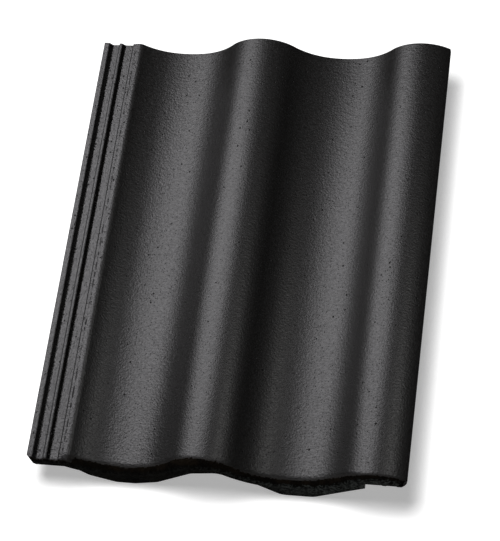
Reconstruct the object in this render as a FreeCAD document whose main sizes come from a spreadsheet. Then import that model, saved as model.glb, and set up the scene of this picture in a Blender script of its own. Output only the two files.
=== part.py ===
"""Double pantile roof tile, moulded as one piece of concrete.

Frame: millimetres, +X across the tile from the side lock's ribs to its cover, +Y up the roof slope
from the nose to the head, +Z up. The origin is the middle of the tile at the floor that its feet
and nibs stand on.
"""
import FreeCAD
import Part
import math
import os

import Sketcher

SIZES = [
    # plan of the tile
    ("length", 420.0),              # nose to head
    ("wave_pitch", 150.0),          # one roll to the next, two of them make the cover width
    ("side_lap", 30.0),             # what the next tile covers
    # the wave
    ("wave_height", 31.5),          # top of a roll above the bottom of a pan
    ("crest_radius", 40.0),         # roll
    ("shoulder_radius", 56.0),      # between roll and pan
    ("trough_radius", 78.0),        # bottom of a pan
    ("crest_inset", 25.0),          # last roll from the cover's edge
    ("thickness", 12.0),            # wall of the tile
    ("stand_height", 28.0),         # bottom of a pan above the floor
    # the ribbed half of the side lock
    ("channel_level", 12.2),        # water channels above the bottom of a pan
    ("underlap_thickness", 8.0),
    ("outer_rib_height", 3.8),
    ("outer_rib_top", 5.2),
    ("outer_rib_base", 8.1),
    ("outer_channel", 6.0),
    ("middle_rib_height", 3.2),
    ("middle_rib_lean", 0.8),
    ("middle_rib_top", 2.7),
    ("middle_rib_base", 6.1),
    ("inner_channel", 7.6),
    ("ledge_height", 3.0),
    ("ledge_width", 3.6),
    ("land_step", 0.5),
    ("wall_lean", 0.5),
    ("land_radius", 6.5),           # turn of the land into the first pan
    ("rib_round", 1.5),
    # the covering half of the side lock
    ("lock_clearance", 1.5),
    ("edge_round", 2.0),
    # the nose and its weather bars
    ("nose_round", 5.5),
    ("foot_length", 14.0),
    ("foot_spacing", 34.0),         # front of the first weather bar to front of the second
    ("foot_round", 10.0),           # turn of the flats into the sides
    # the lower edge of a weather bar, from left to right
    ("first_knee_reach", 30.0),     # left of the first pan's middle
    ("first_knee_height", 13.7),
    ("first_foot_flat", 17.0),      # width under the first pan that stands on the floor
    ("second_knee_reach", 30.0),    # right of the first pan's middle
    ("second_knee_height", 8.1),
    ("arch_left_reach", 10.0),      # left of the first roll's middle
    ("arch_left_height", 38.3),
    ("arch_right_reach", 13.5),     # right of the first roll's middle
    ("arch_right_height", 44.0),
    ("third_knee_reach", 32.0),     # left of the second pan's middle
    ("third_knee_height", 24.4),
    ("second_foot_left", 12.0),     # flat that stands on the floor, left of the second pan's middle
    ("second_foot_right", 16.0),    # and right of it
    ("bar_end_height", 33.9),
    ("lock_gap", 6.0),              # side of the weather bar to the next tile's outer rib
    ("corner_chamfer", 4.0),
    # the hanging nibs
    ("nib_setback", 22.0),          # head to the face that hangs on the batten
    ("nib_width", 40.0),
    ("nib_foot", 11.0),             # length of the nib on the floor
    ("nib_root", 17.0),             # length of the nib where it meets the tile
    ("nib_round", 2.0),
]

document = FreeCAD.newDocument("pantile")
sheet = document.addObject("Spreadsheet::Sheet", "sizes")
for row, (alias, value) in enumerate(SIZES, start=1):
    sheet.set(f"A{row}", alias)
    sheet.set(f"B{row}", str(value))
    sheet.setAlias(f"B{row}", alias)
document.recompute()

# places worked out from the sizes, written in the sheet's own names
WIDTH = "(2 * sizes.wave_pitch + sizes.side_lap)"
CREST_2 = f"({WIDTH} - sizes.crest_inset)"
CREST_1 = f"({CREST_2} - sizes.wave_pitch)"
TROUGH_2 = f"({CREST_2} - sizes.wave_pitch / 2)"
TROUGH_1 = f"({CREST_1} - sizes.wave_pitch / 2)"
PAN = "sizes.stand_height"
CHANNEL = f"({PAN} + sizes.channel_level)"
UNDERLAP_BOTTOM = f"({CHANNEL} - sizes.underlap_thickness)"
LEDGE = f"({CHANNEL} + sizes.ledge_height)"
LAND = f"({LEDGE} + sizes.land_step)"
LOCK_CEILING = f"({CHANNEL} + sizes.outer_rib_height + sizes.lock_clearance)"
LOCK_TONGUE = f"({CHANNEL} + sizes.lock_clearance)"
COVERED = f"({WIDTH} - sizes.side_lap)"
CREST_CENTRE = f"({PAN} + sizes.wave_height - sizes.crest_radius)"
TROUGH_CENTRE = f"({PAN} + sizes.trough_radius)"
OUTER_CHANNEL = "sizes.outer_rib_base"
MIDDLE_RIB = f"({OUTER_CHANNEL} + sizes.outer_channel)"
INNER_CHANNEL = f"({MIDDLE_RIB} + sizes.middle_rib_base)"
LEDGE_START = f"({INNER_CHANNEL} + sizes.inner_channel)"
LAND_START = f"({LEDGE_START} + sizes.ledge_width)"


def size(expression):
    """The number that an expression of the sheet's names gives."""
    return float(sheet.evalExpression(expression))


def origin_part(body, role):
    """One of the body's own planes or axes."""
    return next(part for part in body.Origin.OriginFeatures if part.Role == role)


def new_sketch(body, role, name, across=None, out=None):
    """A sketch on one of the body's planes, moved across it and out of it."""
    sketch = body.newObject("Sketcher::SketchObject", name)
    sketch.AttachmentSupport = [(origin_part(body, role), "")]
    sketch.MapMode = "FlatFace"
    if across:
        sketch.setExpression("AttachmentOffset.Base.x", across)
    if out:
        sketch.setExpression("AttachmentOffset.Base.z", out)
    return sketch


class Piece:
    """A line or an arc of an outline, with its two ends and an arc's centre."""

    def __init__(self, sketch, geometry, left, right):
        self.number = sketch.addGeometry(geometry, False)
        self.left = (self.number, left)
        self.right = (self.number, right)
        self.centre = (self.number, 3)


def bind(sketch, kind, references, expression):
    """A dimension of the sketch, held by an expression."""
    number = sketch.addConstraint(Sketcher.Constraint(kind, *references, size(expression)))
    sketch.setExpression(f"Constraints[{number}]", expression)


def place(sketch, end, x, y):
    """Hold one point of a sketch at x and y from its origin."""
    for kind, axis, expression in (("DistanceX", -2, x), ("DistanceY", -1, y)):
        if expression == "0":
            sketch.addConstraint(Sketcher.Constraint("PointOnObject", *end, axis))
        elif expression:
            bind(sketch, kind, (-1, 1, *end), expression)


def join(sketch, first, second, smooth=False):
    kind = "Tangent" if smooth else "Coincident"
    sketch.addConstraint(Sketcher.Constraint(kind, *first.right, *second.left))


def line(sketch, start, end):
    ends = [FreeCAD.Vector(x, y, 0) for x, y in (start, end)]
    return Piece(sketch, Part.LineSegment(*ends), 1, 2)


def hollow_arc(sketch, centre, radius, left, right):
    """An arc whose centre lies above it, from angle left to angle right measured from straight down."""
    circle = Part.Circle(FreeCAD.Vector(*centre, 0), FreeCAD.Vector(0, 0, 1), radius)
    down = 1.5 * math.pi
    return Piece(sketch, Part.ArcOfCircle(circle, down + left, down + right), 1, 2)


def round_arc(sketch, centre, radius, left, right):
    """An arc whose centre lies below it, from angle left to angle right measured from straight up."""
    circle = Part.Circle(FreeCAD.Vector(*centre, 0), FreeCAD.Vector(0, 0, 1), radius)
    up = 0.5 * math.pi
    return Piece(sketch, Part.ArcOfCircle(circle, up - right, up - left), 2, 1)


def polyline(sketch, points):
    """Straight pieces through points, which are pairs of expressions. Every point is held in place."""
    spots = [(size(x), size(y)) for x, y in points]
    pieces = [line(sketch, start, end) for start, end in zip(spots, spots[1:])]
    for first, second in zip(pieces, pieces[1:]):
        join(sketch, first, second)
    for piece, (x, y) in zip(pieces, points):
        place(sketch, piece.left, x, y)
    place(sketch, pieces[-1].right, *points[-1])
    return pieces


class WaveShape:
    """Angles and places of the wave's arcs, which fit between the pans' and the rolls' centres."""

    def __init__(self):
        run = size("sizes.wave_pitch / 2")
        rise = size(TROUGH_CENTRE) - size(CREST_CENTRE)
        span = math.hypot(run, rise)
        to_trough = size("sizes.trough_radius - sizes.shoulder_radius")
        to_crest = size("sizes.crest_radius + sizes.shoulder_radius")
        turn = math.acos((span ** 2 + to_trough ** 2 - to_crest ** 2) / (2 * span * to_trough))
        self.pan_angle = math.atan2(run, rise) - turn
        self.shift = to_trough * math.sin(self.pan_angle)
        self.shoulder_height = size(TROUGH_CENTRE) - to_trough * math.cos(self.pan_angle)
        self.flank_angle = math.atan2(run - self.shift, self.shoulder_height - size(CREST_CENTRE))
        self.first_shoulder = size(TROUGH_1) - self.shift

    def shoulder_turn(self, depth, level):
        """Angle of the first shoulder, depth below the top face, where it reaches a level."""
        return -math.acos((self.shoulder_height - size(level)) / size(f"sizes.shoulder_radius + {depth}"))

    def crest_turn(self, depth, x):
        """Angle of the last roll, depth below the top face, where it reaches a place across the tile."""
        return math.asin((size(x) - size(CREST_2)) / size(f"sizes.crest_radius - {depth}"))


def wave(sketch, shape, depth, left_turn, right_turn):
    """The tile's wave, from the first pan's left shoulder to the last roll, depth below the top face.

    The arcs meet smoothly. The two ends of the wave stay free for the outline that it joins.
    """
    crest_radius = f"(sizes.crest_radius - {depth})"
    shoulder_radius = f"(sizes.shoulder_radius + {depth})"
    trough_radius = f"(sizes.trough_radius + {depth})"
    pieces = []
    for trough, crest in ((TROUGH_1, CREST_1), (TROUGH_2, CREST_2)):
        middle = size(trough)
        left = left_turn if trough == TROUGH_1 else -shape.flank_angle
        right = right_turn if crest == CREST_2 else shape.flank_angle
        pan = [
            hollow_arc(sketch, (middle - shape.shift, shape.shoulder_height), size(shoulder_radius),
                       left, -shape.pan_angle),
            hollow_arc(sketch, (middle, size(TROUGH_CENTRE)), size(trough_radius),
                       -shape.pan_angle, shape.pan_angle),
            hollow_arc(sketch, (middle + shape.shift, shape.shoulder_height), size(shoulder_radius),
                       shape.pan_angle, shape.flank_angle),
        ]
        roll = round_arc(sketch, (size(crest), size(CREST_CENTRE)), size(crest_radius),
                         -shape.flank_angle, right)
        for piece, radius in zip(pan, (shoulder_radius, trough_radius, shoulder_radius)):
            bind(sketch, "Radius", (piece.number,), radius)
        bind(sketch, "Radius", (roll.number,), crest_radius)
        place(sketch, pan[1].centre, trough, TROUGH_CENTRE)
        place(sketch, roll.centre, crest, CREST_CENTRE)
        pieces += pan + [roll]
    for first, second in zip(pieces, pieces[1:]):
        join(sketch, first, second, smooth=True)
    sketch.addConstraint(Sketcher.Constraint("Horizontal", *pieces[0].centre, *pieces[2].centre))
    return pieces


def tongue(middle, width):
    """The four corners of a rib under the cover, which hangs into a channel of the next tile."""
    bottom = f"({width} / 2 - sizes.lock_clearance)"
    top = f"({bottom} + sizes.wall_lean)"
    return [(f"({middle} + {top})", LOCK_CEILING), (f"({middle} + {bottom})", LOCK_TONGUE),
            (f"({middle} - {bottom})", LOCK_TONGUE), (f"({middle} - {top})", LOCK_CEILING)]


def draw_slab(sketch, shape):
    """The section of the two pans, the two rolls and the cover of the side lock."""
    brow_height = size(f"{LAND} - sizes.land_radius")
    reach = size("sizes.land_radius + sizes.shoulder_radius")
    lift = shape.shoulder_height - brow_height
    brow_x = shape.first_shoulder - math.sqrt(reach ** 2 - lift ** 2)
    brow_turn = math.acos(lift / reach)
    top = wave(sketch, shape, "0", -brow_turn, shape.crest_turn("0", WIDTH))
    side = line(sketch, (size(LAND_START), size(UNDERLAP_BOTTOM)), (size(LAND_START), size(LAND)))
    flat = line(sketch, (size(LAND_START), size(LAND)), (brow_x, size(LAND)))
    brow = round_arc(sketch, (brow_x, brow_height), size("sizes.land_radius"), 0.0, brow_turn)
    bind(sketch, "Radius", (brow.number,), "sizes.land_radius")
    place(sketch, side.left, LAND_START, UNDERLAP_BOTTOM)
    place(sketch, side.right, LAND_START, LAND)
    sketch.addConstraint(Sketcher.Constraint("Horizontal", flat.number))
    join(sketch, side, flat)
    join(sketch, flat, brow, smooth=True)
    join(sketch, brow, top[0], smooth=True)

    edge_level = size(CREST_CENTRE) + math.sqrt(size("sizes.crest_radius") ** 2
                                                - size("sizes.crest_inset") ** 2)
    edge = line(sketch, (size(WIDTH), edge_level), (size(WIDTH), size(LOCK_CEILING)))
    ceiling = polyline(sketch, [(WIDTH, LOCK_CEILING)]
                       + tongue(f"({COVERED} + {INNER_CHANNEL} + sizes.inner_channel / 2)",
                                "sizes.inner_channel")
                       + tongue(f"({COVERED} + {OUTER_CHANNEL} + sizes.outer_channel / 2)",
                                "sizes.outer_channel"))
    sketch.addConstraint(Sketcher.Constraint("Vertical", edge.number))
    join(sketch, top[-1], edge)
    join(sketch, edge, ceiling[0])

    crest_depth = size("sizes.crest_radius - sizes.thickness")
    recess_turn = -math.acos((size(LOCK_CEILING) - size(CREST_CENTRE)) / crest_depth)
    underlap_turn = shape.shoulder_turn("sizes.thickness", UNDERLAP_BOTTOM)
    under = wave(sketch, shape, "sizes.thickness", underlap_turn, recess_turn)
    recess_x = size(CREST_2) + crest_depth * math.sin(recess_turn)
    recess = line(sketch, (size(f"{COVERED} + {OUTER_CHANNEL}"), size(LOCK_CEILING)),
                  (recess_x, size(LOCK_CEILING)))
    shoulder_depth = size("sizes.shoulder_radius + sizes.thickness")
    shelf_x = shape.first_shoulder + shoulder_depth * math.sin(underlap_turn)
    shelf = line(sketch, (shelf_x, size(UNDERLAP_BOTTOM)), (size(LAND_START), size(UNDERLAP_BOTTOM)))
    for flat_piece in (recess, shelf):
        sketch.addConstraint(Sketcher.Constraint("Horizontal", flat_piece.number))
    join(sketch, ceiling[-1], recess)
    sketch.addConstraint(Sketcher.Constraint("Coincident", *recess.right, *under[-1].right))
    sketch.addConstraint(Sketcher.Constraint("Coincident", *shelf.left, *under[0].left))
    join(sketch, shelf, side)


def draw_underlap(sketch):
    """The section of the ribs and water channels that the next tile covers."""
    outer_rib_level = f"({CHANNEL} + sizes.outer_rib_height)"
    middle_rib_level = f"({CHANNEL} + sizes.middle_rib_height)"
    outline = polyline(sketch, [
        (LAND_START, UNDERLAP_BOTTOM),
        ("0", UNDERLAP_BOTTOM),
        ("0", outer_rib_level),
        ("sizes.outer_rib_top", outer_rib_level),
        (OUTER_CHANNEL, CHANNEL),
        (MIDDLE_RIB, CHANNEL),
        (f"({MIDDLE_RIB} + sizes.middle_rib_lean)", middle_rib_level),
        (f"({MIDDLE_RIB} + sizes.middle_rib_lean + sizes.middle_rib_top)", middle_rib_level),
        (INNER_CHANNEL, CHANNEL),
        (LEDGE_START, CHANNEL),
        (f"({LEDGE_START} + sizes.wall_lean)", LEDGE),
        (LAND_START, LEDGE),
    ])
    closing = line(sketch, (size(LAND_START), size(LEDGE)), (size(LAND_START), size(UNDERLAP_BOTTOM)))
    join(sketch, outline[-1], closing)
    join(sketch, closing, outline[0])


def draw_foot(sketch, shape):
    """A weather bar: it thickens the nose, and stands on the floor under both pans."""
    middle_depth = "sizes.thickness / 2"
    start_level = f"({CHANNEL} - sizes.underlap_thickness / 2)"
    end_x = f"({COVERED} - sizes.lock_gap)"

    start_turn = shape.shoulder_turn(middle_depth, start_level)
    end_turn = shape.crest_turn(middle_depth, end_x)
    root = wave(sketch, shape, middle_depth, start_turn, end_turn)
    place(sketch, root[0].left, None, start_level)
    middle_radius = size(f"sizes.shoulder_radius + {middle_depth}")
    start_x = shape.first_shoulder + middle_radius * math.sin(start_turn)
    end_top = size(CREST_CENTRE) + size(f"sizes.crest_radius - {middle_depth}") * math.cos(end_turn)

    edge = polyline(sketch, [
        (f"({TROUGH_1} - sizes.first_knee_reach)", "sizes.first_knee_height"),
        (f"({TROUGH_1} - sizes.first_foot_flat / 2)", "0"),
        (f"({TROUGH_1} + sizes.first_foot_flat / 2)", "0"),
        (f"({TROUGH_1} + sizes.second_knee_reach)", "sizes.second_knee_height"),
        (f"({CREST_1} - sizes.arch_left_reach)", "sizes.arch_left_height"),
        (f"({CREST_1} + sizes.arch_right_reach)", "sizes.arch_right_height"),
        (f"({TROUGH_2} - sizes.third_knee_reach)", "sizes.third_knee_height"),
        (f"({TROUGH_2} - sizes.second_foot_left)", "0"),
        (f"({TROUGH_2} + sizes.second_foot_right)", "0"),
        (end_x, "sizes.bar_end_height"),
    ])
    first_knee = (size(f"{TROUGH_1} - sizes.first_knee_reach"), size("sizes.first_knee_height"))
    descent = line(sketch, (start_x, size(start_level)), first_knee)
    wall = line(sketch, (size(end_x), size("sizes.bar_end_height")), (size(end_x), end_top))
    sketch.addConstraint(Sketcher.Constraint("Vertical", wall.number))
    sketch.addConstraint(Sketcher.Constraint("Coincident", *descent.left, *root[0].left))
    join(sketch, descent, edge[0])
    join(sketch, edge[-1], wall)
    sketch.addConstraint(Sketcher.Constraint("Coincident", *wall.right, *root[-1].right))


def draw_nib(sketch):
    """The side of a hanging nib: upright towards the batten, sloped towards the head."""
    stop = "(sizes.length / 2 - sizes.nib_setback)"
    top = f"({PAN} - sizes.thickness / 2)"
    outline = polyline(sketch, [
        (stop, "0"),
        (f"{stop} + sizes.nib_foot", "0"),
        (f"{stop} + sizes.nib_root", top),
        (stop, top),
    ])
    closing = line(sketch, (size(stop), size(top)), (size(stop), 0))
    join(sketch, outline[-1], closing)
    join(sketch, closing, outline[0])


def pad(body, name, sketch, length, symmetric=False, backwards=False):
    feature = body.newObject("PartDesign::Pad", name)
    feature.Profile = sketch
    feature.setExpression("Length", length)
    feature.Midplane = symmetric
    feature.Reversed = backwards
    sketch.Visibility = False
    return feature


def pattern(body, name, feature, axis, step):
    """A second copy of a feature, a step along one of the body's axes."""
    copies = body.newObject("PartDesign::LinearPattern", name)
    copies.Originals = [feature]
    copies.Direction = (origin_part(body, axis), [""])
    copies.setExpression("Length", step)
    copies.Occurrences = 2
    body.Tip = copies
    return copies


def edge_names(feature, wanted):
    """Names of the edges of a feature's shape that a test picks out."""
    return [f"Edge{number}" for number, edge in enumerate(feature.Shape.Edges, start=1) if wanted(edge)]


def near(value, target):
    return abs(value - target) < 0.01


def on_nose_top(edge):
    """Arcs of the wave's top face at the nose."""
    radii = [size(f"sizes.{name}") for name in
             ("crest_radius", "shoulder_radius", "trough_radius", "land_radius")]
    at_nose = near(edge.BoundBox.YMin, -size("sizes.length / 2")) and near(edge.BoundBox.YLength, 0)
    return at_nose and isinstance(edge.Curve, Part.Circle) and any(
        near(edge.Curve.Radius, radius) for radius in radii)


def along_rib_top(edge):
    """Long edges at the tops of the two ribs and of the ledge."""
    levels = [size(f"{CHANNEL} + sizes.{name}") for name in
              ("outer_rib_height", "middle_rib_height", "ledge_height")]
    left_of_land = edge.BoundBox.XMax < size(f"{LAND_START} - sizes.wall_lean - {WIDTH} / 2")
    return runs_along(edge) and left_of_land and any(near(edge.BoundBox.ZMin, level) for level in levels)


def runs_along(edge):
    """Straight edges that run most of the tile's length."""
    return edge.BoundBox.YLength > size("sizes.length / 2") and near(edge.BoundBox.ZLength, 0)


def along_cover_edge(edge):
    """The upper edge of the cover."""
    return (runs_along(edge) and near(edge.BoundBox.XMin, size(f"{WIDTH} / 2"))
            and edge.BoundBox.ZMin > size(LOCK_CEILING) + 0.01)


def at_foot_turn(edge):
    """Edges where the flats of the weather bars turn into their sides."""
    across = near(edge.BoundBox.XLength, 0) and near(edge.BoundBox.ZMax, 0)
    return across and near(edge.BoundBox.YLength, size("sizes.foot_length"))


def at_nib_bottom(edge):
    """The lower edges of the nibs."""
    return near(edge.BoundBox.ZMax, 0) and edge.BoundBox.YMin > 0


def at_outer_corner(edge):
    """The upright edge where the outer rib ends at the nose."""
    return (near(edge.BoundBox.XMax, size(f"-{WIDTH} / 2")) and near(edge.BoundBox.XLength, 0)
            and near(edge.BoundBox.YMax, size("-sizes.length / 2")))


def fillet(body, name, feature, wanted, radius):
    rounded = body.newObject("PartDesign::Fillet", name)
    rounded.Base = (feature, edge_names(feature, wanted))
    rounded.setExpression("Radius", radius)
    document.recompute()
    return rounded


def build_tile():
    body = document.addObject("PartDesign::Body", "roof_tile")
    body.Label = "roof_tile"
    from_left = f"-{WIDTH} / 2"
    shape = WaveShape()

    section = new_sketch(body, "XZ_Plane", "section", across=from_left)
    draw_slab(section, shape)
    pad(body, "slab", section, "sizes.length", symmetric=True)

    foot_outline = new_sketch(body, "XZ_Plane", "weather_bar_outline", across=from_left,
                              out="sizes.length / 2")
    draw_foot(foot_outline, shape)
    foot = pad(body, "weather_bar", foot_outline, "sizes.foot_length", backwards=True)
    pattern(body, "weather_bars", foot, "Y_Axis", "sizes.foot_spacing")

    nib_outline = new_sketch(body, "YZ_Plane", "nib_outline", out=f"{TROUGH_1} - {WIDTH} / 2")
    draw_nib(nib_outline)
    nib = pad(body, "nib", nib_outline, "sizes.nib_width", symmetric=True)
    nibs = pattern(body, "nibs", nib, "X_Axis", "sizes.wave_pitch")
    document.recompute()
    nose = fillet(body, "nose_round", nibs, on_nose_top, "sizes.nose_round")
    cover = fillet(body, "cover_round", nose, along_cover_edge, "sizes.edge_round")
    turns = fillet(body, "foot_round", cover, at_foot_turn, "sizes.foot_round")
    fillet(body, "nib_round", turns, at_nib_bottom, "sizes.nib_round")

    underlap_section = new_sketch(body, "XZ_Plane", "underlap_section", across=from_left)
    draw_underlap(underlap_section)
    underlap = pad(body, "underlap", underlap_section, "sizes.length", symmetric=True)
    document.recompute()
    corner = body.newObject("PartDesign::Chamfer", "outer_corner")
    corner.Base = (underlap, edge_names(underlap, at_outer_corner))
    corner.setExpression("Size", "sizes.corner_chamfer")
    document.recompute()
    fillet(body, "rib_round", corner, along_rib_top, "sizes.rib_round")
    return body


def check(objects):
    """Stop where a feature failed or a shape is not sound."""
    for item in objects:
        if "Invalid" in item.State or "Error" in item.State:
            raise RuntimeError(f"{item.Label} failed: {item.State}")
        shape = getattr(item, "Shape", None)
        if shape is not None and item.isDerivedFrom("PartDesign::Feature"):
            if shape.isNull() or not shape.isValid():
                raise RuntimeError(f"{item.Label} has no sound shape")


tile = build_tile()
document.recompute()
check(document.Objects)
os.makedirs("parts", exist_ok=True)
tile.Shape.exportStep(f"parts/{tile.Label}.step")
print(tile.Label, "solids", len(tile.Shape.Solids), "volume cm3", round(tile.Shape.Volume / 1000, 1))
print("box", tile.Shape.BoundBox)
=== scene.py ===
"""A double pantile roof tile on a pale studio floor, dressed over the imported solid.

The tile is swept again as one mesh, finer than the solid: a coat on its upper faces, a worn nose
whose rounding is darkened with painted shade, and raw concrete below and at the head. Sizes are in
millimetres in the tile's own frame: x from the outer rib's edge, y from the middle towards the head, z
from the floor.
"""

import math

import bmesh
import bpy
import numpy as np
from mathutils import Matrix, Vector, noise


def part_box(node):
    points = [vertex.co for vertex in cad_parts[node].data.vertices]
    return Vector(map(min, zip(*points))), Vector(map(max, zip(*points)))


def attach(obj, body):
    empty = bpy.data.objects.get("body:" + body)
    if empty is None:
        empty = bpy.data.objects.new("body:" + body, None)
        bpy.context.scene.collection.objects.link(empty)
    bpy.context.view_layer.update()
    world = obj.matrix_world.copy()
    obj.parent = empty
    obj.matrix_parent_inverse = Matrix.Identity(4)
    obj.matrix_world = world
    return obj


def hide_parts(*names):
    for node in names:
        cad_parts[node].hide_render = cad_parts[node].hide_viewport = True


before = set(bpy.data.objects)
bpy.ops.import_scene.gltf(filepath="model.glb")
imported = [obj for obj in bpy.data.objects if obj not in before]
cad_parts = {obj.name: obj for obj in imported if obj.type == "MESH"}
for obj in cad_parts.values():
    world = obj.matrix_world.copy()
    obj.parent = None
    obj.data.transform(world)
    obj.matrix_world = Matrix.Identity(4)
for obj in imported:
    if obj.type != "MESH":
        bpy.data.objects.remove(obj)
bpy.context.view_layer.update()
MM = 0.001

# plan and wave
LOW, HIGH = (np.array(corner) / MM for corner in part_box("roof_tile"))
LENGTH = HIGH[1] - LOW[1]
WIDTH = HIGH[0] - LOW[0]
WAVE_PITCH = 150.0
SIDE_LAP = 30.0
WAVE_HEIGHT = 31.5
CREST_RADIUS = 40.0
SHOULDER_RADIUS = 56.0
TROUGH_RADIUS = 78.0
CREST_INSET = 25.0
THICKNESS = 12.0
PAN = 28.0

# ribbed half of the side lock
CHANNEL = PAN + 12.2
UNDERLAP_BOTTOM = CHANNEL - 8.0
OUTER_RIB_TOP = 5.2
OUTER_RIB_BASE = 8.1
OUTER_CHANNEL = 6.0
OUTER_RIB_HEIGHT = 3.8
MIDDLE_RIB_BASE = 6.1
MIDDLE_RIB_TOP = 2.7
MIDDLE_RIB_LEAN = 0.8
MIDDLE_RIB_HEIGHT = 3.2
INNER_CHANNEL = 7.6
LEDGE_WIDTH = 3.6
LEDGE = CHANNEL + 3.0
LAND = LEDGE + 0.5
LAND_WALL_LEAN = 0.1
LAND_RADIUS = 6.5
WALL_LEAN = 0.5
RIB_ROUND = 1.5

# covering half of the side lock
LOCK_CLEARANCE = 1.5
LOCK_CEILING = CHANNEL + OUTER_RIB_HEIGHT + LOCK_CLEARANCE
LOCK_TONGUE = CHANNEL + LOCK_CLEARANCE
LOCK_GAP = 6.0
TONGUE_ROUND = 0.4
EDGE_ROUND = 2.0
EDGE_FOOT = LOCK_CEILING + 1.0

# lip under the cover at the nose
LIP_LENGTH = 4.0
LIP_LOW = LOCK_CEILING - 1.8
LIP_HIGH = LOCK_CEILING - 0.7

# nose, weather bars and nibs
NOSE_DROP = 7.0
RIB_END_REACH = 3.2
RIB_END_DROP = 2.6
FOOT_ROUND = 10.0
FOOT_LENGTH = 14.0
FOOT_SPACING = 34.0
CORNER_CHAMFER = 4.5
CORNER_ROUND = 5.5
NIB_SETBACK = 22.0
NIB_WIDTH = 40.0
NIB_FOOT = 11.0
NIB_ROOT = 17.0

# lower edge of a weather bar, from left to right
FIRST_KNEE_REACH = 30.0
FIRST_KNEE_HEIGHT = 13.7
FIRST_FOOT_FLAT = 17.0
SECOND_KNEE_REACH = 30.0
SECOND_KNEE_HEIGHT = 8.1
ARCH_LEFT_REACH = 10.0
ARCH_LEFT_HEIGHT = 38.3
ARCH_RIGHT_REACH = 13.5
ARCH_RIGHT_HEIGHT = 44.0
THIRD_KNEE_REACH = 32.0
THIRD_KNEE_HEIGHT = 24.4
SECOND_FOOT_LEFT = 12.0
SECOND_FOOT_RIGHT = 16.0
BAR_END_HEIGHT = 33.9

# places that follow from the sizes
CREST_2 = WIDTH - CREST_INSET
CREST_1 = CREST_2 - WAVE_PITCH
TROUGH_2 = CREST_2 - WAVE_PITCH / 2
TROUGH_1 = CREST_1 - WAVE_PITCH / 2
COVERED = WIDTH - SIDE_LAP
BAR_END = COVERED - LOCK_GAP
CREST_CENTRE = PAN + WAVE_HEIGHT - CREST_RADIUS
TROUGH_CENTRE = PAN + TROUGH_RADIUS
MIDDLE_RIB = OUTER_RIB_BASE + OUTER_CHANNEL
MIDDLE_RIB_LEFT = MIDDLE_RIB + MIDDLE_RIB_LEAN
MIDDLE_RIB_RIGHT = MIDDLE_RIB_LEFT + MIDDLE_RIB_TOP
INNER_CHANNEL_START = MIDDLE_RIB + MIDDLE_RIB_BASE
LEDGE_START = INNER_CHANNEL_START + INNER_CHANNEL
LAND_START = LEDGE_START + LEDGE_WIDTH
NOSE = -LENGTH / 2
HEAD = LENGTH / 2

# how far the rounding of the nose reaches back at places across the tile
NOSE_REACH = [(TROUGH_1 + 15, 9.5), (TROUGH_1 + 26, 8.4), (CREST_1 - 24, 11.0), (CREST_1 + 10, 9.5),
              (TROUGH_2, 9.0), (CREST_2 - 36, 11.0), (CREST_2 - 12, 6.0), (WIDTH, 5.5)]
LONGEST_REACH = max(reach for _, reach in NOSE_REACH)

# how far back the worn nose's finish reaches at places across the tile; on the coated rounding it is
# painted shade
WORN_AND_SHADE_REACH = [(LAND_START + 4.5, 1.9), (LAND_START + 6, 6.4), (LAND_START + 14, 6.2), (TROUGH_1 - 8, 5.4),
              (TROUGH_1 + 6, 4.4), (CREST_1 - 28, 6.0), (CREST_1 - 6, 7.0), (TROUGH_2 - 40, 4.2),
              (TROUGH_2 + 4, 4.4), (CREST_2 - 37, 6.0), (CREST_2 - 12, 3.5), (WIDTH, 3.2)]

# stretches across the tile over which one finish passes into the next
ROUNDING_FADE = (LEDGE_START - 2.0, LAND_START + 6.0)
CRUMB_FADE = (LAND_START + 1.0, LAND_START + 6.0)
RIB_FADE = (LAND_START + 3.0, LAND_START + 7.0)
FIRST_GRAIN_FADE = (CREST_1 - 35.0, CREST_1 - 8.0)
SECOND_GRAIN_FADE = (CREST_1 + 20.0, TROUGH_2 - 20.0)
BARE_FADE = (CREST_1, TROUGH_2 + 20.0)

# how finely the mesh follows the sizes
RIB_STEP = 0.75
WAVE_STEP = 1.4
UNDER_STEP = 3.5
ROW_STEP = 3.6
NOSE_ROWS = 24
CUT_ROWS = 8
CORNER_PLACES = 10
TURN_STEP = math.radians(18)
LONGEST_CUT = 0.45  # share of a side that the rounding of its end may take
STEP_GAP = 0.02
WELD_GAP = 0.004
SHARP_ANGLE = math.radians(38)

# looks of the faces
COAT = 0
RAW = 1
# the worn nose, whose rounding is darkened with painted shade
WORN_AND_SHADED = 2

# unevenness of the faces
SWELL_SIZE = 60.0
SWELL_DEPTH = 0.12
SWELL_SEED = 1
CRUMB_SIZE = 3.2
CRUMB_DEPTH = 0.12
CRUMB_SEED = 2
CUT_SIZE = 4.0
CUT_DEPTH = 0.8
CUT_SEED = 3
# ragged edge of the worn nose's finish, which paints shade on the rounding
WORN_AND_SHADE_SIZE = 2.5
WORN_AND_SHADE_RAG = 0.9
WORN_AND_SHADE_SEED = 4
SEED_STEP = (17.3, 5.1, 9.7)

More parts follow.
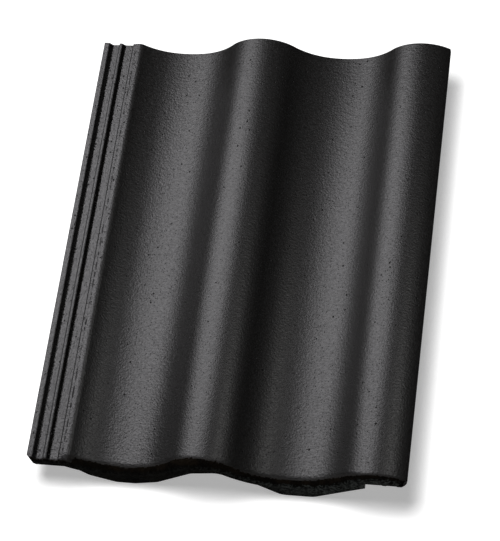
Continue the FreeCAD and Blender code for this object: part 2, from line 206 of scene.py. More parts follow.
# coat: sizes of its marks, depths of their bump, gloss and colours
STROKE_SCALE = (0.6, 1.0, 0.6)
FIRST_PAN_GRAIN = 0.93
FIRST_ROLL_GRAIN = 0.66
SECOND_PAN_GRAIN = 0.73
RIPPLE_SIZE = 2.2
RIPPLE_DEPTH = 0.13
PEEL_SIZE = 1.45
PEEL_DEPTH = 0.2
PIN_CELL = 1.9
PIN_DEPTH = 0.12
PIN_DULLNESS = 0.8
PIT_CELL = 8.0
SPECK_CELL = 5.0
HOLE_DEPTH = 0.4
HOLE_ROUGHNESS = 0.55
DASH_SIZE = 3.5
RIB_CRUMB_SIZE = 1.3
RIB_CRUMB_DEPTH = 0.3
DUST_SIZE = 0.9
PATCH_SIZE = 34.0
STREAK_SIZE = 1.3
STREAK_ROUGHNESS = 0.06
COAT_ROUGHNESS = 0.4
RUBBED_ROUGHNESS = 0.75
# how far the coat's rubbed edge, darkened with painted shade, reaches over and behind the edge of the
# nose's finish
RUBBED_AND_SHADED_AHEAD = 0.5
RUBBED_AND_SHADED_BEHIND = 2.6
# where painted shade lies on the ribs' right sides and beside them
LEE_START = 0.4
OUTER_LEE_END = 1.0
MIDDLE_LEE_END = 0.6
LEE_GLOSS = 0.15
LINE_START = -0.1
LEDGE_LINE_END = 0.7
LAND_LINE_END = 0.5
COAT_DARK = (0.0047, 0.0044, 0.0041, 1)
COAT_LIGHT = (0.0078, 0.0073, 0.0068, 1)
COAT_DUST = (0.016, 0.0158, 0.0155, 1)
# the ribs' colour, lightened to paint the light on their tops
COAT_RIBS_PAINTED_LIGHT = (0.03, 0.0295, 0.03, 1)
# the rubbed edge's brown, which is painted shade
COAT_RUBBED_AND_SHADED = (0.0045, 0.003, 0.0018, 1)
# painted shade in the holes and grooves and on the ribs' right sides
COAT_PAINTED_SHADE = (0.0015, 0.0012, 0.001, 1)

# raw concrete
RAW_GRIT_SIZE = 1.8
RAW_GRIT_DEPTH = 1.2
RAW_PATCH_SIZE = 14.0
RAW_DARK = (0.03, 0.0295, 0.0285, 1)
RAW_LIGHT = (0.085, 0.084, 0.081, 1)
RAW_PATCH = (0.02, 0.0195, 0.019, 1)

# worn nose, with painted shade and a painted brown reflection on its rounding
NOSE_SPECULAR = 0.04
NOSE_GRIT_SIZE = 1.9
NOSE_GRIT_DEPTH = 1.0
NOSE_PATCH_SIZE = 12.0
BARE_EDGE_SIZE = 4.0
BARE_EDGE_RAG = 0.8
BARE_EDGE = (0.9, 1.6)
PATCH_EDGE = (0.6, 2.5)
NOSE_SHADE_BLACK = (0.001, 0.0007, 0.0004, 1)
NOSE_BROWN_REFLECTION = (0.007, 0.0049, 0.0028, 1)
NOSE_BARE = (0.0025, 0.0027, 0.0025, 1)
NOSE_GRAINS = (0.027, 0.03, 0.028, 1)

# floor, with its reach and its glow's distances in metres
FLOOR_REACH = 12
FLOOR_PATCH_SIZE = 400.0
FLOOR_GRAIN_SIZE = 6.0
FLOOR_GRAIN_DEPTH = 0.05
FLOOR_DARK = (0.84, 0.84, 0.84, 1)
FLOOR_LIGHT = (0.87, 0.87, 0.87, 1)
GLOW_START = 0.4
GLOW_END = 1.8
GLOW_NEAR = 0.39
GLOW_FAR = 0.97
WHITE = (1, 1, 1, 1)

# camera and surroundings
EYE = Vector((335.0, -708.0, 1508.8 + PAN)) * MM
AIM = Vector((3.7, -12.9, PAN)) * MM
ROLL = math.radians(19.92)
FOCAL_PIXELS = 1896.6
PHOTO_HEIGHT = 541
SENSOR_WIDTH = 36.0
WORLD_STRENGTH = 0.02


def shoulder_place():
    """Where the arcs between pan and roll have their centres, and the angles at which they meet."""
    run = WAVE_PITCH / 2
    rise = TROUGH_CENTRE - CREST_CENTRE
    span = math.hypot(run, rise)
    to_trough = TROUGH_RADIUS - SHOULDER_RADIUS
    to_crest = CREST_RADIUS + SHOULDER_RADIUS
    turn = math.acos((span ** 2 + to_trough ** 2 - to_crest ** 2) / (2 * span * to_trough))
    pan_angle = math.atan2(run, rise) - turn
    shift = to_trough * math.sin(pan_angle)
    height = TROUGH_CENTRE - to_trough * math.cos(pan_angle)
    flank_angle = math.atan2(run - shift, height - CREST_CENTRE)
    return shift, height, pan_angle, flank_angle


SHIFT, SHOULDER_HEIGHT, PAN_ANGLE, FLANK_ANGLE = shoulder_place()


def arc(centre, radius, left, right, step, hollow):
    """Points from angle left to angle right.

    A hollow arc hangs below its centre, and a round one stands over it.
    """
    count = max(2, math.ceil(radius * abs(right - left) / step) + 1)
    angles = np.linspace(left, right, count)
    side = -1.0 if hollow else 1.0
    return np.column_stack([centre[0] + radius * np.sin(angles),
                            centre[1] + side * radius * np.cos(angles)])


def wave(depth, left, right, step):
    """The wave at a depth below the upper face, from the first pan's left shoulder to the last roll."""
    shoulder = SHOULDER_RADIUS + depth
    runs = []
    for trough, crest in ((TROUGH_1, CREST_1), (TROUGH_2, CREST_2)):
        start = left if trough == TROUGH_1 else -FLANK_ANGLE
        end = right if crest == CREST_2 else FLANK_ANGLE
        runs += [
            arc((trough - SHIFT, SHOULDER_HEIGHT), shoulder, start, -PAN_ANGLE, step, True),
            arc((trough, TROUGH_CENTRE), TROUGH_RADIUS + depth, -PAN_ANGLE, PAN_ANGLE, step, True),
            arc((trough + SHIFT, SHOULDER_HEIGHT), shoulder, PAN_ANGLE, FLANK_ANGLE, step, True),
            arc((crest, CREST_CENTRE), CREST_RADIUS - depth, -FLANK_ANGLE, end, step, False),
        ]
    return np.vstack([runs[0]] + [run[1:] for run in runs[1:]])


def rounded(points, radius, step):
    """A line through points with its inner corners rounded off, and no piece longer than step."""
    points = np.array(points, float)
    path = [points[0]]
    for before, corner, after in zip(points, points[1:], points[2:]):
        length_back = np.linalg.norm(before - corner)
        length_ahead = np.linalg.norm(after - corner)
        back = (before - corner) / length_back
        ahead = (after - corner) / length_ahead
        turn = math.pi - math.acos(np.clip(back @ ahead, -1, 1))
        cut = min(radius * math.tan(turn / 2), LONGEST_CUT * length_back, LONGEST_CUT * length_ahead)
        for share in np.linspace(0, 1, max(3, math.ceil(turn / TURN_STEP) + 1)):
            path.append(corner + cut * ((1 - share) ** 2 * back + share ** 2 * ahead))
    path.append(points[-1])
    fine = [path[0]]
    for start, end in zip(path, path[1:]):
        pieces = max(1, math.ceil(np.linalg.norm(end - start) / step))
        fine += [start + (end - start) * (n + 1) / pieces for n in range(pieces)]
    return np.array(fine)


def upper_outline():
    """The section's upper edge, from the outer rib to the cover's edge."""
    rib = CHANNEL + OUTER_RIB_HEIGHT
    middle = CHANNEL + MIDDLE_RIB_HEIGHT
    reach = LAND_RADIUS + SHOULDER_RADIUS
    lift = SHOULDER_HEIGHT - (LAND - LAND_RADIUS)
    brow_x = TROUGH_1 - SHIFT - math.sqrt(reach ** 2 - lift ** 2)
    brow_turn = math.acos(lift / reach)
    ribs = rounded([
        (0.0, rib - 2 * RIB_ROUND), (0.0, rib), (OUTER_RIB_TOP, rib), (OUTER_RIB_BASE, CHANNEL),
        (MIDDLE_RIB, CHANNEL), (MIDDLE_RIB_LEFT, middle), (MIDDLE_RIB_RIGHT, middle),
        (INNER_CHANNEL_START, CHANNEL), (LEDGE_START, CHANNEL), (LEDGE_START + WALL_LEAN, LEDGE),
        (LAND_START, LEDGE), (LAND_START + LAND_WALL_LEAN, LAND), (brow_x, LAND),
    ], RIB_ROUND, RIB_STEP)
    brow = arc((brow_x, LAND - LAND_RADIUS), LAND_RADIUS, 0.0, brow_turn, RIB_STEP, False)
    edge_turn = math.asin(CREST_INSET / CREST_RADIUS)
    crests = wave(0.0, -brow_turn, edge_turn, WAVE_STEP)
    edge = rounded([crests[-3], crests[-1], (WIDTH, EDGE_FOOT)], EDGE_ROUND, WAVE_STEP)
    return np.vstack([ribs, brow[1:], crests[1:-3], edge])


def tongue(middle, width):
    """A rib under the cover, which hangs into a channel of the next tile."""
    bottom = width / 2 - LOCK_CLEARANCE
    top = bottom + WALL_LEAN
    return [(middle + top, LOCK_CEILING), (middle + bottom, LOCK_TONGUE),
            (middle - bottom, LOCK_TONGUE), (middle - top, LOCK_CEILING)]


def plain_underside():
    """The section's lower edge away from bars and nibs, from the cover's edge to the outer rib."""
    cover = [(WIDTH, LOCK_CEILING)]
    cover += tongue(COVERED + INNER_CHANNEL_START + INNER_CHANNEL / 2, INNER_CHANNEL)
    cover += tongue(COVERED + OUTER_RIB_BASE + OUTER_CHANNEL / 2, OUTER_CHANNEL)
    depth = CREST_RADIUS - THICKNESS
    recess_turn = -math.acos((LOCK_CEILING - CREST_CENTRE) / depth)
    shelf_turn = -math.acos((SHOULDER_HEIGHT - UNDERLAP_BOTTOM) / (SHOULDER_RADIUS + THICKNESS))
    under = wave(THICKNESS, shelf_turn, recess_turn, UNDER_STEP)[::-1]
    lock = rounded(cover + [tuple(under[0])], TONGUE_ROUND, UNDER_STEP)
    shelf = rounded([tuple(under[-1]), (0.0, UNDERLAP_BOTTOM)], 0.0, UNDER_STEP)
    return np.vstack([lock, under[1:], shelf[1:]])


def bar_outline():
    """The lower edge of a weather bar, from left to right."""
    depth = THICKNESS / 2
    start_level = CHANNEL - (CHANNEL - UNDERLAP_BOTTOM) / 2
    start_turn = -math.acos((SHOULDER_HEIGHT - start_level) / (SHOULDER_RADIUS + depth))
    start_x = TROUGH_1 - SHIFT + (SHOULDER_RADIUS + depth) * math.sin(start_turn)
    return rounded([
        (start_x, start_level),
        (TROUGH_1 - FIRST_KNEE_REACH, FIRST_KNEE_HEIGHT),
        (TROUGH_1 - FIRST_FOOT_FLAT / 2, 0.0),
        (TROUGH_1 + FIRST_FOOT_FLAT / 2, 0.0),
        (TROUGH_1 + SECOND_KNEE_REACH, SECOND_KNEE_HEIGHT),
        (CREST_1 - ARCH_LEFT_REACH, ARCH_LEFT_HEIGHT),
        (CREST_1 + ARCH_RIGHT_REACH, ARCH_RIGHT_HEIGHT),
        (TROUGH_2 - THIRD_KNEE_REACH, THIRD_KNEE_HEIGHT),
        (TROUGH_2 - SECOND_FOOT_LEFT, 0.0),
        (TROUGH_2 + SECOND_FOOT_RIGHT, 0.0),
        (BAR_END, BAR_END_HEIGHT),
    ], FOOT_ROUND, UNDER_STEP)


class Underside:
    """Heights of the lower faces, and the places across the tile where they are sampled."""

    def __init__(self):
        self.plain = plain_underside()
        self.bar = bar_outline()
        edges = [trough + side * NIB_WIDTH / 2 for trough in (TROUGH_1, TROUGH_2) for side in (-1, 1)]
        steps = [edge + side * STEP_GAP for edge in edges + [BAR_END] for side in (-1, 1)]
        corner = np.linspace(WIDTH - CORNER_ROUND, WIDTH, CORNER_PLACES)
        places = np.concatenate([self.plain[:, 0], self.bar[1:-1, 0], steps, corner])
        self.x = np.sort(places)[::-1]

    def heights(self, bar, nib_level):
        """Heights at the sampled places, with or without a weather bar and the nibs."""
        z = np.interp(self.x, self.plain[::-1, 0], self.plain[::-1, 1])
        if bar:
            lower = np.interp(self.x, self.bar[:, 0], self.bar[:, 1], left=np.inf, right=np.inf)
            z = np.minimum(z, lower)
        if nib_level is not None:
            for trough in (TROUGH_1, TROUGH_2):
                inside = np.abs(self.x - trough) < NIB_WIDTH / 2
                z = np.where(inside, np.minimum(z, nib_level), z)
        return z


def nose_line(x):
    """Where the front edge lies at places across the tile.

    Its left corner is chamfered and its right one is rounded.
    """
    left = np.clip(CORNER_CHAMFER - x, 0, None)
    inside = np.clip(x - (WIDTH - CORNER_ROUND), 0, CORNER_ROUND)
    right = CORNER_ROUND - np.sqrt(CORNER_ROUND ** 2 - inside ** 2)
    return NOSE + left + right


def quarter(gap, reach, drop):
    """How far a rounding of the nose lies below the face it turns out of, at a gap behind the nose."""
    share = np.clip(1 - gap / reach, 0, 1)
    return drop * (1 - np.sqrt(1 - share ** 2))


def stations():
    """Places along the tile: y, whether a weather bar is there, and the level of the nibs' lower face."""
    nib_start = HEAD - NIB_SETBACK
    root = PAN - THICKNESS / 2
    bars = [(NOSE, NOSE + FOOT_LENGTH), (NOSE + FOOT_SPACING, NOSE + FOOT_SPACING + FOOT_LENGTH)]
    turns = np.linspace(0, math.pi / 2, NOSE_ROWS)
    marks = [(NOSE + LONGEST_REACH * (1 - math.cos(turn)), True, None) for turn in turns]
    marks += [(bars[0][1], True, None), (bars[0][1], False, None),
              (bars[1][0], False, None), (bars[1][0], True, None),
              (bars[1][1], True, None), (bars[1][1], False, None),
              (nib_start, False, None), (nib_start, False, 0.0),
              (nib_start + NIB_FOOT, False, 0.0), (nib_start + NIB_ROOT, False, root),
              (nib_start + NIB_ROOT, False, None), (HEAD, False, None)]
    rows = []
    for (y, bar, nib), (next_y, next_bar, next_nib) in zip(marks, marks[1:]):
        rows.append((y, bar, nib))
        pieces = math.ceil((next_y - y) / ROW_STEP)
        for n in range(1, pieces):
            share = n / pieces
            level = None if nib is None or next_nib is None else nib + (next_nib - nib) * share
            rows.append((y + (next_y - y) * share, bar and next_bar, level))
    rows.append(marks[-1])
    return rows


def smooth_step(value, low, high):
    """Nothing up to low, one from high on, and a smooth rise between them."""
    share = np.clip((value - low) / (high - low), 0, 1)
    return share * share * (3 - 2 * share)


def grain(points, size, seed):
    """Smooth noise at points, with features of the given size."""
    offset = Vector([seed * step for step in SEED_STEP])
    return np.array([noise.noise(Vector(point) / size + offset) for point in points])


def upper_rows(rows):
    """The upper face: one row of points per station, with the nose's rounding and its unevenness."""
    outline = upper_outline()
    along = np.gradient(outline, axis=0)
    along /= np.linalg.norm(along, axis=1)[:, None]
    inward = np.column_stack([along[:, 1], -along[:, 0]])
    fade = smooth_step(outline[:, 0], *ROUNDING_FADE)
    ribbed = 1 - smooth_step(outline[:, 0], *CRUMB_FADE)
    front = nose_line(outline[:, 0])
    reach = np.interp(outline[:, 0], *zip(*NOSE_REACH))
    result = []
    for y, _, _ in rows:
        depth = np.maximum(y, front)
        flat = np.column_stack([outline[:, 0], depth, outline[:, 1]])
        sag = 0.5 + 0.5 * grain(flat, SWELL_SIZE, SWELL_SEED)
        crumble = ribbed * (0.5 + 0.5 * grain(flat, CRUMB_SIZE, CRUMB_SEED))
        push = quarter(y - NOSE, reach, NOSE_DROP) * fade + SWELL_DEPTH * sag + CRUMB_DEPTH * crumble
        place = outline + inward * push[:, None]
        place[:, 1] -= quarter(y - NOSE, RIB_END_REACH, RIB_END_DROP) * (1 - fade)
        result.append(np.column_stack([np.clip(place[:, 0], 0, WIDTH), depth, place[:, 1]]))
    return result


def lower_rows(rows):
    """The lower face: one row of points per station, with the lip under the cover at the nose."""
    under = Underside()
    result = []
    for y, bar, nib_level in rows:
        z = under.heights(bar, nib_level)
        if y < NOSE + LIP_LENGTH:
            z = np.where(under.x > BAR_END, np.clip(z, LIP_LOW, LIP_HIGH), z)
        result.append(np.column_stack([under.x, np.maximum(y, nose_line(under.x)), z]))
    return result


def build_skin():
    """Points and faces between the two cut ends, each face's look, and how many points a row has."""
    rows = stations()
    upper = upper_rows(rows)
    loops = [np.vstack(pair) for pair in zip(upper, lower_rows(rows))]
    size = len(loops[0])
    upper_count = len(upper[0])
    reach = np.interp(upper[0][:, 0], *zip(*WORN_AND_SHADE_REACH))
    faces = []
    kinds = []
    for row in range(len(loops) - 1):
        here = row * size
        there = here + size
        for n in range(size):
            m = (n + 1) % size
            faces.append((here + n, here + m, there + m, there + n))
        gap = (rows[row][0] + rows[row + 1][0]) / 2 - NOSE
        # the worn nose's finish, with its painted shade, goes on the rounding's faces this far back
        worn_and_shaded = np.zeros(upper_count, bool)
        if gap < LONGEST_REACH:
            worn_and_shaded = gap < reach + WORN_AND_SHADE_RAG * grain(upper[row], WORN_AND_SHADE_SIZE, WORN_AND_SHADE_SEED)
        kinds += np.where(worn_and_shaded, WORN_AND_SHADED, COAT).tolist()
        kinds += [RAW] * (size - upper_count)
    return np.vstack(loops), faces, kinds, size, upper_count


def chain_strip(first, second, keys_first, keys_second):
    """Triangles between two chains of points that run the same way."""
    triangles = []
    a = b = 0
    last_a = len(first) - 1
    last_b = len(second) - 1
    while a < last_a or b < last_b:
        if b == last_b or (a < last_a and keys_first[a + 1] <= keys_second[b + 1]):
            triangles.append((first[a], second[b], first[a + 1]))
            a += 1
        else:
            triangles.append((first[a], second[b], second[b + 1]))
            b += 1
    return triangles


def cut_end(vertices, loop_start, upper_count, size, outward):
    """The cut face at one end: rows from the upper edge down, then a strip to the lower edge."""
    top = vertices[loop_start:loop_start + upper_count]
    bottom_index = list(range(loop_start + size - 1, loop_start + upper_count - 1, -1))
    bottom = vertices[bottom_index]
    floor_level = np.interp(top[:, 0], bottom[:, 0], bottom[:, 2])
    new_points = []
    faces = []
    above = list(range(loop_start, loop_start + upper_count))
    count = len(vertices)
    for row in range(1, CUT_ROWS):
        share = row / CUT_ROWS
        points = top.copy()
        points[:, 2] = top[:, 2] + (floor_level - top[:, 2]) * share
        points[:, 1] -= outward * CUT_DEPTH * (0.5 + 0.5 * grain(points, CUT_SIZE, CUT_SEED))
        here = list(range(count, count + upper_count))
        count += upper_count
        new_points.append(points)
        for n in range(upper_count - 1):
            faces.append((above[n], here[n], here[n + 1], above[n + 1]))
        above = here
    faces += chain_strip(above, bottom_index, top[:, 0], bottom[:, 0])
    if outward > 0:
        faces = [tuple(reversed(face)) for face in faces]
    return np.vstack(new_points), faces


def tile_object():
    """The whole tile as one mesh, in metres about the frame's origin."""
    vertices, faces, kinds, size, upper_count = build_skin()
    head_start = len(vertices) - size
    for start, outward, kind in ((0, -1, WORN_AND_SHADED), (head_start, 1, RAW)):
        points, cut_faces = cut_end(vertices, start, upper_count, size, outward)
        vertices = np.vstack([vertices, points])
        faces += cut_faces
        kinds += [kind] * len(cut_faces)
    vertices = (vertices - np.array([WIDTH / 2, 0, 0])) * MM
    mesh = bpy.data.meshes.new("tile")
    mesh.from_pydata(vertices.tolist(), [], faces)
    mesh.polygons.foreach_set("material_index", kinds)
    whole = bmesh.new()
    whole.from_mesh(mesh)
    bmesh.ops.remove_doubles(whole, verts=whole.verts, dist=WELD_GAP * MM)
    whole.to_mesh(mesh)
    whole.free()
    mesh.shade_smooth()
    mesh.set_sharp_from_angle(angle=SHARP_ANGLE)
    mesh.validate()
    tile = bpy.data.objects.new("tile", mesh)
    bpy.context.collection.objects.link(tile)
    return tile


class Look:
    """A procedural material: its shader and the nodes that drive it."""

    def __init__(self, name):
        self.material = bpy.data.materials.new(name)
        self.material.use_nodes = True
        self.tree = self.material.node_tree
        self.shader = self.tree.nodes["Principled BSDF"]
        self.place = self.add("ShaderNodeTexCoord").outputs["Object"]

    def add(self, kind, **settings):
        """A new node with the given settings."""
        node = self.tree.nodes.new(kind)
        for name, value in settings.items():
            setattr(node, name, value)
        return node

    def feed(self, socket, value):
        """Links a socket to a node's output, or gives it a plain value."""
        if isinstance(value, bpy.types.NodeSocket):
            self.tree.links.new(value, socket)
        else:
            socket.default_value = value

    def across_and_along(self):
        """Millimetres from the outer rib's edge, and from the nose."""
        split = self.add("ShaderNodeSeparateXYZ")
        self.feed(split.inputs["Vector"], self.place)
        across = self.plus(self.calc("DIVIDE", split.outputs["X"], MM), WIDTH / 2)
        along = self.minus(self.calc("DIVIDE", split.outputs["Y"], MM), NOSE)
        return across, along

    def stretched(self, scale):
        """Places scaled along each axis, for marks that are longer one way."""
        node = self.add("ShaderNodeMapping")
        self.feed(node.inputs["Vector"], self.place)
        node.inputs["Scale"].default_value = scale
        return node.outputs["Vector"]

    def noise(self, size, detail=2.0, gain=0.5, place=None):
        """Noise with features of a size in millimetres."""
        node = self.add("ShaderNodeTexNoise")
        self.feed(node.inputs["Vector"], place or self.place)
        node.inputs["Scale"].default_value = 1 / (size * MM)
        node.inputs["Detail"].default_value = detail
        node.inputs["Roughness"].default_value = gain
        return node.outputs["Fac"]

    def pits(self, size, inner, outer, rarity):
        """Round specks in cells of a size in millimetres, with inner and outer radii in cells.

        The larger the rarity, from nothing to one, the fewer cells have a speck.
        """
        node = self.add("ShaderNodeTexVoronoi")
        self.feed(node.inputs["Vector"], self.place)
        node.inputs["Scale"].default_value = 1 / (size * MM)
        chance = self.add("ShaderNodeSeparateColor")
        self.feed(chance.inputs["Color"], node.outputs["Color"])
        present = self.span(chance.outputs["Red"], rarity, rarity + 0.04)
        return self.times(self.span(node.outputs["Distance"], inner, outer, 1.0, 0.0), present)

    def calc(self, operation, first, second):
        """One calculation with two values."""
        node = self.add("ShaderNodeMath", operation=operation)
        self.feed(node.inputs[0], first)
        self.feed(node.inputs[1], second)
        return node.outputs["Value"]

    def plus(self, first, second):
        return self.calc("ADD", first, second)

    def minus(self, first, second):
        return self.calc("SUBTRACT", first, second)

    def times(self, first, second):
        return self.calc("MULTIPLY", first, second)

    def most(self, first, second):
        return self.calc("MAXIMUM", first, second)

    def span(self, value, low, high, first=0.0, last=1.0):
        """The value moved from low..high to first..last, smoothly and held at both ends."""
        node = self.add("ShaderNodeMapRange", interpolation_type="SMOOTHSTEP")
        self.feed(node.inputs["Value"], value)
        node.inputs["From Min"].default_value = low
        node.inputs["From Max"].default_value = high
        node.inputs["To Min"].default_value = first
        node.inputs["To Max"].default_value = last
        return node.outputs["Result"]

    def strip(self, value, low, high):
        """One between low and high, and falling to nothing within half a millimetre of either."""
        rising = self.span(value, low - 0.5, low)
        falling = self.span(value, high, high + 0.5, 1.0, 0.0)
        return self.times(rising, falling)

    def profile(self, value, points):
        """A smooth line through points, held at both ends."""
        total = points[0][1]
        for (start, low), (end, high) in zip(points, points[1:]):
            total = self.plus(self.span(value, start, end, 0.0, high - low), total)
        return total

    def blend(self, share, first, second):
        """A colour between two others."""
        node = self.add("ShaderNodeMix", data_type="RGBA")
        self.feed(node.inputs["Factor"], share)
        self.feed(node.inputs[6], first)
        self.feed(node.inputs[7], second)
        return node.outputs[2]

    def bump(self, height, depth, below=None):
        """A bump of a depth in millimetres, laid over another."""
        node = self.add("ShaderNodeBump")
        node.inputs["Distance"].default_value = depth * MM
        self.feed(node.inputs["Height"], height)
        if below is not None:
            self.feed(node.inputs["Normal"], below)
        return node.outputs["Normal"]

    def finished(self, colour, roughness, normal):
        """The material, once its shader has been fed."""
        self.feed(self.shader.inputs["Base Color"], colour)
        self.feed(self.shader.inputs["Roughness"], roughness)
        self.feed(self.shader.inputs["Normal"], normal)
        return self.material


def grain_share(look, across):
    """How strong the coat's grain is: most in the first pan and least on the first roll."""
    first = look.span(across, *FIRST_GRAIN_FADE, FIRST_PAN_GRAIN, FIRST_ROLL_GRAIN)
    second = look.span(across, *SECOND_GRAIN_FADE, 0.0, SECOND_PAN_GRAIN - FIRST_ROLL_GRAIN)
    return look.plus(first, second)


def coat_holes(look, across, ribs):
    """Larger pinholes, specks on the ribs, and lines at the feet of the ledge and the land, all of which
    the coat darkens with painted shade.
    """
    pit = look.pits(PIT_CELL, inner=0.05, outer=0.12, rarity=0.45)
    speck = look.times(ribs, look.pits(SPECK_CELL, inner=0.08, outer=0.2, rarity=0.55))
    # the lines at the feet of the ledge and the land are grooves, darkened with painted shade
    ledge_foot_line = look.strip(across, LEDGE_START + LINE_START, LEDGE_START + LEDGE_LINE_END)
    dash = look.strip(across, LAND_START + LINE_START, LAND_START + LAND_LINE_END)
    dash = look.times(dash, look.span(look.noise(DASH_SIZE, detail=1.0), 0.45, 0.6, 0.0, 0.7))
    return look.most(look.most(speck, look.most(ledge_foot_line, dash)), pit)


def coat_look():
    """The satin coat: fine strokes, peel and pinholes, ribs lightened with painted light, painted shade in
    its holes and on the ribs' right sides, and a rubbed edge at the nose darkened with painted shade.
    """
    look = Look("charcoal_coat")
    across, along = look.across_and_along()
    ribs = look.span(across, *RIB_FADE, 1.0, 0.0)
    # the right sides of the ribs, where painted shade darkens the coat and the coat is glossier
    lee_shade = look.most(
        look.strip(across, OUTER_RIB_TOP + LEE_START, OUTER_RIB_BASE + OUTER_LEE_END),
        look.strip(across, MIDDLE_RIB_RIGHT + LEE_START, INNER_CHANNEL_START + MIDDLE_LEE_END))
    worn_and_shade_gap = look.minus(along, look.profile(across, WORN_AND_SHADE_REACH))
    # the coat's edge before the nose: rubbed rougher, and darkened with painted shade
    rubbed_and_shaded = look.span(worn_and_shade_gap, -RUBBED_AND_SHADED_AHEAD, RUBBED_AND_SHADED_BEHIND, 1.0, 0.0)

    share = grain_share(look, across)
    strokes = look.stretched(STROKE_SCALE)
    ripple = look.times(share, look.noise(RIPPLE_SIZE, detail=0.0, place=strokes))
    peel = look.times(share, look.noise(PEEL_SIZE, detail=0.0))
    pin = look.times(share, look.pits(PIN_CELL, inner=0.1, outer=0.32, rarity=0.6))
    hole = coat_holes(look, across, ribs)
    crumb = look.noise(RIB_CRUMB_SIZE, detail=1.0)

    dust = look.span(look.noise(DUST_SIZE, detail=0.0), 0.45, 0.75)
    # painted light: the ribs are lightened in colour to stand in for the light on their tops
    pale = look.times(ribs, look.span(crumb, 0.3, 0.6, 0.4, 1.0))
    # painted shade: holes, pinholes and the ribs' right sides are darkened in colour
    painted_shade = look.most(look.most(hole, lee_shade), pin)
    colour = look.blend(look.noise(PATCH_SIZE, detail=3.0, gain=0.6), COAT_DARK, COAT_LIGHT)
    colour = look.blend(dust, colour, COAT_DUST)
    colour = look.blend(pale, colour, COAT_RIBS_PAINTED_LIGHT)
    colour = look.blend(rubbed_and_shaded, colour, COAT_RUBBED_AND_SHADED)
    colour = look.blend(painted_shade, colour, COAT_PAINTED_SHADE)

    streak = look.noise(STREAK_SIZE, detail=0.0, place=strokes)
    streak = look.times(share, look.span(streak, 0.3, 0.7, -STREAK_ROUGHNESS, STREAK_ROUGHNESS))
    roughness = look.plus(streak, look.span(rubbed_and_shaded, 0.0, 1.0, COAT_ROUGHNESS, RUBBED_ROUGHNESS))
    roughness = look.minus(roughness, look.times(lee_shade, LEE_GLOSS))
    dull = look.most(look.times(pin, PIN_DULLNESS), hole)
    roughness = look.plus(roughness, look.times(dull, HOLE_ROUGHNESS))

    normal = look.bump(ripple, RIPPLE_DEPTH)
    normal = look.bump(peel, PEEL_DEPTH, normal)
    normal = look.bump(look.times(hole, -1.0), HOLE_DEPTH, normal)
    normal = look.bump(look.times(pin, -1.0), PIN_DEPTH, normal)
    normal = look.bump(look.times(ribs, crumb), RIB_CRUMB_DEPTH, normal)
    return look.finished(colour, roughness, normal)


def raw_look():
    """Raw concrete below and at the head: dark grey, matt and granular."""
    look = Look("raw_concrete")
    grit = look.noise(RAW_GRIT_SIZE, detail=2.0, gain=0.6)
    patch = look.noise(RAW_PATCH_SIZE, detail=3.0, gain=0.6)
    colour = look.blend(look.span(grit, 0.35, 0.65), RAW_DARK, RAW_LIGHT)
    colour = look.blend(look.span(patch, 0.35, 0.65, 0.0, 0.4), colour, RAW_PATCH)
    roughness = look.span(grit, 0.3, 0.7, 0.7, 0.95)
    return look.finished(colour, roughness, look.bump(grit, RAW_GRIT_DEPTH))


def worn_and_shaded_look():
    """The worn nose: brown black on its rounding, where the black is painted shade and the brown a painted
    reflection, and a cut face with pale grains, most on the right.
    """
    look = Look("worn_and_shaded_nose")
    look.shader.inputs["Specular IOR Level"].default_value = NOSE_SPECULAR
    across, along = look.across_and_along()
    rag = look.span(look.noise(BARE_EDGE_SIZE), 0.3, 0.7, -BARE_EDGE_RAG, BARE_EDGE_RAG)
    bare = look.span(look.plus(along, rag), *BARE_EDGE, 1.0, 0.0)
    bare = look.times(bare, look.span(across, *BARE_FADE, 0.2, 1.0))
    grit = look.noise(NOSE_GRIT_SIZE, detail=1.0, gain=0.6)
    grains = look.times(bare, look.span(grit, 0.42, 0.62))
    patch = look.span(look.noise(NOSE_PATCH_SIZE, detail=3.0, gain=0.6), 0.35, 0.66, 0.2, 1.0)
    patch = look.times(patch, look.span(along, *PATCH_EDGE, 0.3, 1.0))
    # painted reflection: brown patches on the upper rounding stand in for reflected brown surroundings
    colour = look.blend(patch, NOSE_SHADE_BLACK, NOSE_BROWN_REFLECTION)
    colour = look.blend(bare, colour, NOSE_BARE)
    colour = look.blend(grains, colour, NOSE_GRAINS)
    roughness = look.span(grit, 0.3, 0.7, 0.6, 0.9)
    return look.finished(colour, roughness, look.bump(grit, NOSE_GRIT_DEPTH))


def floor_look():
    """A pale matt floor with a faint unevenness, which glows more further from the tile."""
    look = Look("pale_floor")
    away = look.add("ShaderNodeVectorMath", operation="LENGTH")
    look.feed(away.inputs[0], look.place)
    glow = look.span(away.outputs["Value"], GLOW_START, GLOW_END, GLOW_NEAR, GLOW_FAR)
    look.shader.inputs["Emission Color"].default_value = WHITE
    look.feed(look.shader.inputs["Emission Strength"], glow)
    patch = look.noise(FLOOR_PATCH_SIZE, detail=2.0)
    colour = look.blend(patch, FLOOR_DARK, FLOOR_LIGHT)
    roughness = look.span(patch, 0.3, 0.7, 0.85, 0.95)
    normal = look.bump(look.noise(FLOOR_GRAIN_SIZE), FLOOR_GRAIN_DEPTH)
    return look.finished(colour, roughness, normal)


def facing(place, aim):
    """The place and turn of a camera or lamp that looks from one point to another."""
    return Matrix.Translation(place) @ (aim - place).to_track_quat("-Z", "Y").to_matrix().to_4x4()


def lit(name, piece):
    """A collection of one object, for the lamps that light it alone."""
    collection = bpy.data.collections.new(name)
    collection.objects.link(piece)
    return collection


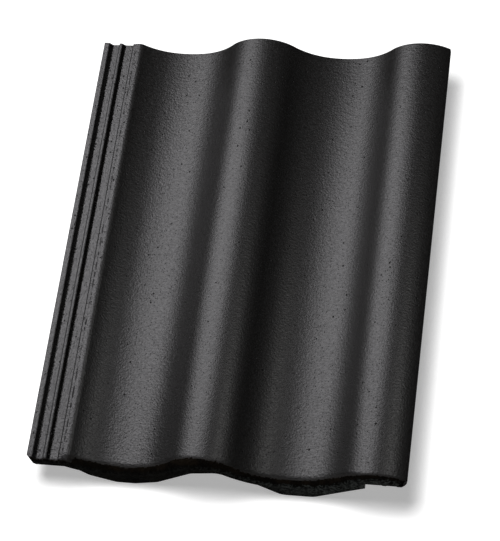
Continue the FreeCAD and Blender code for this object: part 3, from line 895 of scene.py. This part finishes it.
def softbox(name, receiver, azimuth, elevation, distance, size, power, tint=(1, 1, 1)):
    """A rectangular lamp for one object, aimed at the origin from a distance in metres.

    Its azimuth turns from +x towards +y, and both angles are in degrees.
    """
    light = bpy.data.lights.new(name, "AREA")
    light.color = tint
    light.shape = "RECTANGLE"
    light.size, light.size_y = size
    light.energy = power
    lamp = bpy.data.objects.new(name, light)
    bpy.context.collection.objects.link(lamp)
    around = math.radians(azimuth)
    up = math.radians(elevation)
    direction = Vector((math.cos(up) * math.cos(around), math.cos(up) * math.sin(around), math.sin(up)))
    lamp.matrix_world = facing(direction * distance, Vector((0, 0, 0)))
    lamp.light_linking.receiver_collection = receiver


# tile
tile = tile_object()
for make_look in (coat_look, raw_look, worn_and_shaded_look):
    tile.data.materials.append(make_look())
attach(tile, "root")
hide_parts("roof_tile")

# floor
corners = [(FLOOR_REACH * x, FLOOR_REACH * y, 0) for x, y in ((-1, -1), (1, -1), (1, 1), (-1, 1))]
floor_mesh = bpy.data.meshes.new("floor")
floor_mesh.from_pydata(corners, [], [(0, 1, 2, 3)])
floor = bpy.data.objects.new("floor", floor_mesh)
bpy.context.collection.objects.link(floor)
floor_mesh.materials.append(floor_look())
floor.visible_glossy = False

# camera
camera_data = bpy.data.cameras.new("camera")
camera_data.sensor_width = SENSOR_WIDTH
camera_data.lens = FOCAL_PIXELS * SENSOR_WIDTH / PHOTO_HEIGHT
camera = bpy.data.objects.new("camera", camera_data)
bpy.context.collection.objects.link(camera)
camera.matrix_world = facing(EYE, AIM) @ Matrix.Rotation(-ROLL, 4, "Z")
bpy.context.scene.camera = camera

# light
lit_tile = lit("lit_tile", tile)
lit_floor = lit("lit_floor", floor)
softbox("key", lit_tile, azimuth=145.3, elevation=52.4, distance=0.995, size=(0.753, 0.934),
        power=9.65, tint=(1.0, 0.985, 1.015))
softbox("fill", lit_tile, azimuth=9.8, elevation=60.5, distance=1.057, size=(0.377, 0.377),
        power=1.34, tint=(1.01, 1.0, 0.985))
softbox("front", lit_tile, azimuth=-75.0, elevation=25.0, distance=1.6, size=(1.5, 0.68), power=2.6)
softbox("floor_light", lit_floor, azimuth=138.0, elevation=84.0, distance=1.6, size=(0.7, 0.7), power=30.5)

world = bpy.data.worlds.new("studio")
bpy.context.scene.world = world
world.use_nodes = True
background = world.node_tree.nodes["Background"]
background.inputs["Color"].default_value = WHITE
background.inputs["Strength"].default_value = WORLD_STRENGTH

bpy.context.scene.view_settings.view_transform = "Standard"
